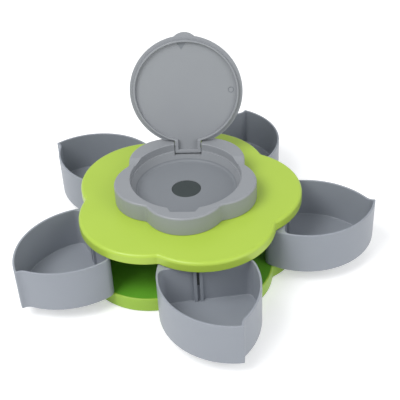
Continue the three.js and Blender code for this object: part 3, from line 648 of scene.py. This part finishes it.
def knob_outside():
    """The knob's outside: a flower block whose top runs up a hollow ramp to its raised back half."""
    outline = flower(KNOB_LOBE_OFFSET, KNOB_LOBE_RADIUS, 0, KNOB_TURN, KNOB_NOTCH_ROUND)
    knob = block_of("knob", outline, KNOB_LOW, KNOB_TOP)
    edit(knob)
    for i in range(RAMP_STEPS + 1):
        bpy.ops.mesh.select_all(action="SELECT")
        line = KNOB_BACK_START - RAMP_LENGTH * i / RAMP_STEPS
        bpy.ops.mesh.bisect(plane_co=(0, line, 0), plane_no=(0, 1, 0))
    mesh = bmesh.from_edit_mesh(knob.data)
    for vertex in mesh.verts:
        if vertex.co.z > KNOB_TOP - TOUCH:
            way = min(max((vertex.co.y - KNOB_BACK_START) / RAMP_LENGTH + 1, 0), 1)
            vertex.co.z += KNOB_BACK_RISE * way ** 2
    bmesh.update_edit_mesh(knob.data)
    done()
    bevel(knob, lambda a, b: min(a.co.z, b.co.z) > KNOB_TOP - TOUCH, KNOB_EDGE, WIDE_SEGMENTS)
    bevel(knob, at_level(KNOB_LOW), SKIRT_EDGE, FINE_SEGMENTS)
    clean(knob, 2 * TOUCH)
    return knob


def add_stem(knob):
    """The stem below the knob's ring, with the dogs that turn the drive gear."""
    combine(knob, "UNION", rod("stem", STEM_RADIUS, STEM_LOW, RECESS_FLOOR - SLACK, sides=STEM_STEPS))
    near, out, side = DOG_OFFSET - DOG_THICKNESS / 2, DOG_OFFSET + DOG_THICKNESS / 2, DOG_WIDTH / 2
    for i in range(DOGS):
        corners = [turned(Vector(c), i * 2 * pi / DOGS)
                   for c in ((near, -side), (out, -side), (out, side), (near, side))]
        combine(knob, "UNION", slab("dog", corners, STEM_LOW - DOG_DEPTH, STEM_LOW + STEM_FLOOR / 2))


def recess_cutters():
    """Cutters for the knob: the recess with its well and ledge, the lower front rim and the finger cut."""
    above, ledge = KNOB_BACK_TOP + OVERRUN, KNOB_BACK_TOP - BACK_LEDGE_DEPTH
    below, well_low = STEM_LOW - OVERRUN - DOG_DEPTH, STEM_LOW + STEM_FLOOR
    seat_low, seat = CAP_LOW - SLACK, CAP_RADIUS + SLACK
    recess = lathe("recess", [
        (0, below), (SPIGOT_BORE, below), (SPIGOT_BORE, well_low), (WELL_RADIUS, well_low),
        (WELL_RADIUS, seat_low), (seat, seat_low), (seat, RECESS_FLOOR),
        *hollow_corner(BACK_FLOOR_RADIUS, RECESS_FLOOR, RECESS_ROUND),
        (BACK_LEDGE_RADIUS, ledge), (BACK_RIM_RADIUS, ledge + BACK_LEDGE_FALL),
        *rounded_lip(BACK_RIM_RADIUS, KNOB_BACK_TOP, LIP_EDGE),
        (BACK_RIM_RADIUS + LIP_EDGE, above), (0, above),
    ], ORIGIN, RING_STEPS)
    front_low = RECESS_FLOOR + RECESS_ROUND
    front = lathe("front", [
        (0, front_low), (BACK_FLOOR_RADIUS - TOUCH, front_low),
        *rounded_lip(FRONT_RIM_RADIUS, KNOB_TOP, LIP_EDGE),
        (FRONT_RIM_RADIUS + LIP_EDGE, above), (0, above),
    ], ORIGIN, RING_STEPS)
    keep_side(front, KNOB_BACK_START - RAMP_LENGTH, -1)
    finger = slab("finger_cut", [(-FINGER_WIDE, -BACK_FLOOR_RADIUS), (-FINGER_NARROW, -FINGER_REACH),
                                 (FINGER_NARROW, -FINGER_REACH), (FINGER_WIDE, -BACK_FLOOR_RADIUS)],
                  KNOB_TOP - FINGER_DEPTH, above)
    return recess, front, finger


def cut_hinge_slot(knob):
    """The slot that the lid's tongue swings in, and the holes for the two pins."""
    heel = TONGUE_REACH * cos(LID_LEAN) + (HINGE_DROP + LID_PLATE) * sin(LID_LEAN)
    slot_low = HINGE_HEIGHT - heel - SLOT_FLOOR
    far, above = 2 * COVER_LOBE_RADIUS, KNOB_BACK_TOP + OVERRUN
    slot = brick("slot", (-SLOT_HALF, KNOB_BACK_START, slot_low), (SLOT_HALF, far, above))
    combine(knob, "DIFFERENCE", slot)
    for side in (-1, 1):
        pin_hole = rod_along_x("pin_hole", PIN_RADIUS + SLACK, side, SLOT_HALF - OVERRUN / 4, PIN_END,
                               (0, HINGE_OFFSET, HINGE_HEIGHT))
        combine(knob, "DIFFERENCE", pin_hole)


def make_knob():
    """Drawn with its hinge at the back, square on, then turned to its place in the photograph."""
    knob = knob_outside()
    add_stem(knob)
    combine(knob, "DIFFERENCE", *recess_cutters())
    cut_hinge_slot(knob)
    place = Matrix.Rotation(KNOB_REST, 4, "Z")
    finish_piece(knob, place, KNOB_GREY, "knob", "knob_dish")
    # The recess's floor and its rounded foot get painted shade.
    finish_part(knob, place, RECESS_SHADE_AND_MARK_GREY,
                lambda middle: RECESS_FLOOR - TOUCH < middle.z < RECESS_FLOOR + RECESS_ROUND
                and middle.xy.length < BACK_FLOOR_RADIUS)


def make_cap():
    """A disc with a rounded edge in the seat of the recess's floor."""
    cap = lathe("cap", [(0, CAP_LOW), (CAP_RADIUS, CAP_LOW),
                        *rounded_edge(CAP_RADIUS, CAP_TOP, CAP_EDGE), (0, CAP_TOP)])
    finish_piece(cap, Matrix.Rotation(KNOB_REST, 4, "Z"), CAP_GREY, "knob", "center_cap")


# The lid is drawn closed, round its hinge's axis, in these places.
LID_MIDDLE = Vector((0, -HINGE_OFFSET))
LID_TOP, IN_LID_PLATE = HINGE_DROP + LID_PLATE, HINGE_DROP + LID_PLATE / 2
BEAD_LOW, BEAD_SUNK = HINGE_DROP - BEAD_HEIGHT, TONGUE_RIM / 6
TONGUE_HALF, TONGUE_INNER = TONGUE_WIDTH / 2, TONGUE_WIDTH / 2 - TONGUE_RIM
TONGUE_CORNER = Vector((TONGUE_HALF - TONGUE_ROUND, TONGUE_REACH - TONGUE_ROUND))


def tongue_corners(radius):
    """The two rounded corners at the tongue's end, right one first."""
    left = Vector((-TONGUE_CORNER.x, TONGUE_CORNER.y))
    return (bow(TONGUE_CORNER, radius, 0, pi / 2, 1, TONGUE_STEPS),
            bow(left, radius, pi / 2, pi, 1, TONGUE_STEPS))


def lid_plate():
    """The lid's plate: a disc with a thumb tab in front and the hinge's tongue at the back."""
    heel_edge = -(HINGE_DROP + LID_TOP * sin(LID_LEAN)) / cos(LID_LEAN)
    tab_edge = sqrt(LID_RADIUS ** 2 - TAB_WIDTH ** 2 / 4)
    rise = LID_RADIUS + TAB_REACH - tab_edge
    tab_radius = (TAB_WIDTH ** 2 / 4 + rise ** 2) / (2 * rise)
    tab_middle = LID_MIDDLE - Vector((0, LID_RADIUS + TAB_REACH - tab_radius))
    tab_ends = [LID_MIDDLE + Vector((side * TAB_WIDTH / 2, -tab_edge)) for side in (-1, 1)]
    heel_half = sqrt(LID_RADIUS ** 2 - (heel_edge + HINGE_OFFSET) ** 2)
    heel_ends = [Vector((side * heel_half, heel_edge)) for side in (-1, 1)]
    plate = block_of("lid_shell", [
        corner(TONGUE_HALF, heel_edge),
        *tongue_corners(TONGUE_ROUND),
        corner(-TONGUE_HALF, heel_edge),
        bow(LID_MIDDLE, LID_RADIUS, angle_to(LID_MIDDLE, heel_ends[0]), angle_to(LID_MIDDLE, tab_ends[0]),
            1, LID_STEPS),
        bow(tab_middle, tab_radius, angle_to(tab_middle, tab_ends[0]), angle_to(tab_middle, tab_ends[1]),
            1, TAB_STEPS),
        bow(LID_MIDDLE, LID_RADIUS, angle_to(LID_MIDDLE, tab_ends[1]), angle_to(LID_MIDDLE, heel_ends[1]),
            1, LID_STEPS),
    ], HINGE_DROP, LID_TOP)
    bevel(plate, at_level(LID_TOP), LID_EDGE, EDGE_SEGMENTS)
    bevel(plate, at_level(HINGE_DROP), LID_UNDER_EDGE, FINE_SEGMENTS)
    return plate


def keyhole(name, radius, side, heel, low, high):
    """A disc with a straight-sided neck over the tongue."""
    join = sqrt(radius ** 2 - side ** 2)
    start, end = atan2(join, -side), atan2(join, side)
    outline = [corner(side, heel), corner(-side, heel), bow(LID_MIDDLE, radius, start, end, 1, RING_STEPS)]
    return block_of(name, outline, low, high)


def lid_bead():
    """The ring below the plate, open towards the tongue through its neck."""
    bead = keyhole("bead", BEAD_RADIUS, TONGUE_HALF - BEAD_SUNK, TONGUE_REACH - BEAD_SUNK,
                   BEAD_LOW, IN_LID_PLATE)
    inside = keyhole("inside", BEAD_RADIUS - BEAD_WIDTH, TONGUE_INNER + BEAD_SUNK,
                     TONGUE_REACH - TONGUE_RIM + BEAD_SUNK, BEAD_LOW - OVERRUN, LID_TOP)
    combine(bead, "DIFFERENCE", inside)
    bevel(bead, at_level(BEAD_LOW), BEAD_EDGE, EDGE_SEGMENTS)
    return bead


def tongue_rim():
    """The raised rim round three sides of the tongue, which holds the pins."""
    neck = sqrt((BEAD_RADIUS - BEAD_WIDTH / 2) ** 2 - TONGUE_HALF ** 2) - HINGE_OFFSET
    side, inner_end = TONGUE_HALF - 2 * TOUCH, TONGUE_REACH - TONGUE_RIM
    rim = block_of("tongue_rim", [
        corner(side, neck),
        *tongue_corners(TONGUE_ROUND - 2 * TOUCH),
        *[corner(*c) for c in ((-side, neck), (-TONGUE_INNER, neck), (-TONGUE_INNER, inner_end),
                               (TONGUE_INNER, inner_end), (TONGUE_INNER, neck))],
    ], -TONGUE_DEPTH, IN_LID_PLATE)
    bevel(rim, at_level(-TONGUE_DEPTH), BEAD_EDGE, EDGE_SEGMENTS)
    return rim


def lid_marks(low, top):
    """Cutters for the arrow and the ring on the lid's inner face."""
    ring = rod("ring", RING_MARK_RADIUS, low, top, RING_MARK_PLACE, SMALL_ROD_STEPS)
    core = rod("core", RING_MARK_RADIUS - RING_MARK_WIDTH, low - OVERRUN, LID_TOP, RING_MARK_PLACE,
               SMALL_ROD_STEPS)
    combine(ring, "DIFFERENCE", core)
    return slab("arrow", ARROW_MARK, low, top), ring


def make_lid():
    """Joined from its plate, bead and tongue rim, then opened round the hinge."""
    mark_top = HINGE_DROP + MARK_DEPTH
    lid = lid_plate()
    combine(lid, "UNION", lid_bead(), tongue_rim())
    combine(lid, "DIFFERENCE", *lid_marks(HINGE_DROP - OVERRUN, mark_top))
    for side in (-1, 1):
        socket = rod_along_x("socket", PIN_RADIUS + SLACK, side, PIN_START - SLACK,
                             TONGUE_HALF + OVERRUN, (0, 0, 0))
        combine(lid, "DIFFERENCE", socket)
    place = (Matrix.Rotation(KNOB_REST, 4, "Z") @ Matrix.Translation((0, HINGE_OFFSET, HINGE_HEIGHT))
             @ Matrix.Rotation(-LID_OPEN, 4, "X"))
    finish_piece(lid, place, KNOB_GREY, "lid", "lid")
    # The floors of the lid's two marks get the same darker grey.
    finish_part(lid, place, RECESS_SHADE_AND_MARK_GREY, lambda middle: abs(middle.z - mark_top) < TOUCH)


INNER_FINISHES = {
    "toothed": ACETAL, "drive": ACETAL, "pivot": INNER, "hub_column": INNER, "rubber": RUBBER,
    "post_screw": STEEL, "hub_screw": STEEL, "center_screw": STEEL, "center_washer": STEEL,
    "lid_hinge": STEEL,
}


def dress_cad_nodes():
    """The construction's own solids that stay get their finishes, by the start of their names."""
    for name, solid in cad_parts.items():
        for start, material in INNER_FINISHES.items():
            if name.startswith(start):
                for entry in solid.material_slots:
                    entry.material = material


# Stage, lights and camera

def make_camera():
    """The photograph's own view."""
    deselect()
    bpy.ops.object.camera_add()
    camera = bpy.context.object
    camera.data.lens, camera.data.sensor_width = VIEW_LENS, VIEW_SENSOR
    camera.data.clip_start, camera.data.clip_end = CLIP_START, CLIP_END
    stand = Vector((0, -cos(VIEW_ELEVATION), sin(VIEW_ELEVATION))) * VIEW_DISTANCE
    stand.z += VIEW_TARGET_HEIGHT
    turn = Matrix.Rotation(VIEW_TURN, 4, "Z")
    aim = (Matrix.Rotation(pi / 2 - VIEW_ELEVATION - VIEW_PITCH, 4, "X")
           @ Matrix.Rotation(-VIEW_YAW, 4, "Y") @ Matrix.Rotation(VIEW_ROLL, 4, "Z"))
    camera.matrix_world = turn @ Matrix.Translation(stand * TO_METRES) @ aim
    bpy.context.scene.camera = camera


def make_floor():
    """A matt white board that takes the shadow, lifted to white for the camera."""
    deselect()
    bpy.ops.mesh.primitive_plane_add(size=FLOOR_SIZE, location=(0, 0, 0))
    floor = bpy.context.object
    floor.name = "floor"
    material = bpy.data.materials.new("matt_white_board")
    material.use_nodes = True
    tree = material.node_tree
    shader = tree.nodes["Principled BSDF"]
    shader.inputs["Base Color"].default_value = (0.85, 0.85, 0.85, 1)
    shader.inputs["Roughness"].default_value = 0.9
    shader.inputs["Specular IOR Level"].default_value = 0.1
    rays = node(material, "ShaderNodeLightPath")
    seen = node(material, "ShaderNodeMath",
                [(0, rays.outputs["Is Camera Ray"]), (1, rays.outputs["Is Glossy Ray"])],
                operation="MAXIMUM")
    glow = node(material, "ShaderNodeMath", [(0, seen.outputs[0])], operation="MULTIPLY")
    glow.inputs[1].default_value = FLOOR_GLOW
    light = node(material, "ShaderNodeEmission", [("Strength", glow.outputs[0])])
    both = node(material, "ShaderNodeAddShader", [(0, shader.outputs[0]), (1, light.outputs[0])])
    tree.links.new(both.outputs[0], tree.nodes["Material Output"].inputs["Surface"])
    floor.data.materials.append(material)


def make_world():
    """A soft, faintly cool room light, which the camera sees as white."""
    world = bpy.data.worlds.new("soft_white_room")
    bpy.context.scene.world = world
    world.use_nodes = True
    tree = world.node_tree
    base = tree.nodes["Background"]
    base.inputs["Color"].default_value = (0.95, 0.97, 1.0, 1)
    base.inputs["Strength"].default_value = 0.55
    white = node(world, "ShaderNodeBackground", Color=(1, 1, 1, 1), Strength=1.0)
    rays = node(world, "ShaderNodeLightPath")
    mix = node(world, "ShaderNodeMixShader", [(0, rays.outputs["Is Camera Ray"]), (1, base.outputs[0]),
                                              (2, white.outputs[0])])
    tree.links.new(mix.outputs[0], tree.nodes["World Output"].inputs["Surface"])


def add_lamp(name, place, size, power):
    """A square soft box that faces the object."""
    deselect()
    bpy.ops.object.light_add(type="AREA", location=place)
    lamp = bpy.context.object
    lamp.name = name
    lamp.data.size, lamp.data.energy = size, power
    lamp.rotation_mode = "QUATERNION"
    lamp.rotation_quaternion = (LAMPS_AIM - Vector(place)).to_track_quat("-Z", "Y")


make_camera()
make_world()
make_floor()
add_lamp("key_softbox", place=(-0.9, -0.7, 1.6), size=1.0, power=22)
add_lamp("fill_softbox", place=(1.2, -1.0, 1.0), size=1.2, power=8)
make_cover()
make_base()
make_petal_boxes()
make_knob()
make_cap()
make_lid()
dress_cad_nodes()

bpy.context.scene.view_settings.view_transform = "Standard"
